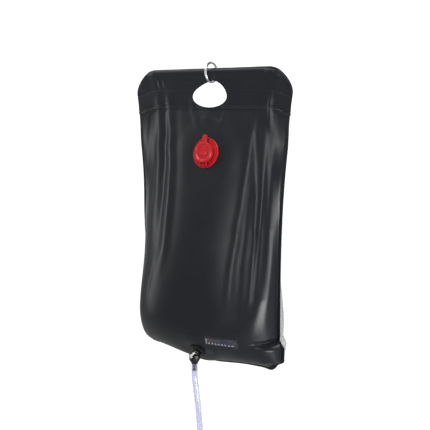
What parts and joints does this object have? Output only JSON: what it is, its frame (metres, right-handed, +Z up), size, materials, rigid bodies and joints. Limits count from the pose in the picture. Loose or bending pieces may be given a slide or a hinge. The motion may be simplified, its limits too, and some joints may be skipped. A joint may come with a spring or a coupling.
{
  "type": "camp shower bag",
  "caption": "Hanging camp shower water bag: black and clear PVC panels, hem rod and hand hole, chrome gate ring, red flip-lid filler, temperature strip, tap with free hose and shower head.",
  "frame": {"origin": "the bearing point at the top of the hanging ring's eye", "axes": "+Z up along the hanging bag, -Y out of the black front panel, X along the hem rod"},
  "size_m": [0.3938, 0.1912, 1.1151],
  "materials": {
    "black_sheet": "satin",
    "clear_sheet": "gloss",
    "chrome": "polished",
    "rod_plastic": "matte",
    "red_plastic": "gloss",
    "black_plastic": "gloss",
    "white_plastic": "gloss",
    "grey_plastic": "satin",
    "black_rubber": "matte",
    "strip_film": "gloss",
    "hose_clear": "gloss"
  },
  "bodies": {
    "ring": {"ring_body": "chrome", "ring_gate_pin": "chrome"},
    "gate": {"ring_gate": "chrome"},
    "bag": {"header_sleeve": "black_sheet", "hem_rod": "rod_plastic", "front_panel": "black_sheet", "back_panel": "clear_sheet", "filler_body": "red_plastic", "lid_hinge_pin": "chrome", "temperature_strip": "strip_film", "strip_window": "clear_sheet", "outlet_body": "black_plastic", "outlet_washer": "black_rubber", "outlet_nut": "black_plastic", "hose": "hose_clear", "shower_head_body": "black_plastic", "shower_rose": "grey_plastic", "head_seal": "black_rubber"},
    "lid": {"filler_lid": "red_plastic", "lid_seal": "black_rubber"},
    "tap": {"tap_plug": "white_plastic", "tap_lever": "white_plastic", "tap_screw": "chrome", "tap_seal_front": "black_rubber", "tap_seal_rear": "black_rubber"}
  },
  "joints": [
    {"name": "gate_hinge", "type": "hinge", "parent": "ring", "child": "gate", "pos_m": [0, 0.01704, -0.00774], "axis": [1, 0, 0], "range_deg": [0, 25], "stiffness_Nm_per_rad": 0.02, "springref_deg": -11.46},
    {"name": "bag_swing", "type": "hinge", "parent": "ring", "child": "bag", "pos_m": [0, 0, -0.0168], "axis": [1, 0, 0], "range_deg": [-45, 45]},
    {"name": "lid_hinge", "type": "hinge", "parent": "bag", "child": "lid", "pos_m": [0.004, -0.03312, -0.2022], "axis": [1, 0, 0], "range_deg": [0, 130]},
    {"name": "tap_turn", "type": "hinge", "parent": "bag", "child": "tap", "pos_m": [0.0158, -0.07921, -0.58467], "axis": [0, -1, 0], "range_deg": [-45, 45]}
  ]
}
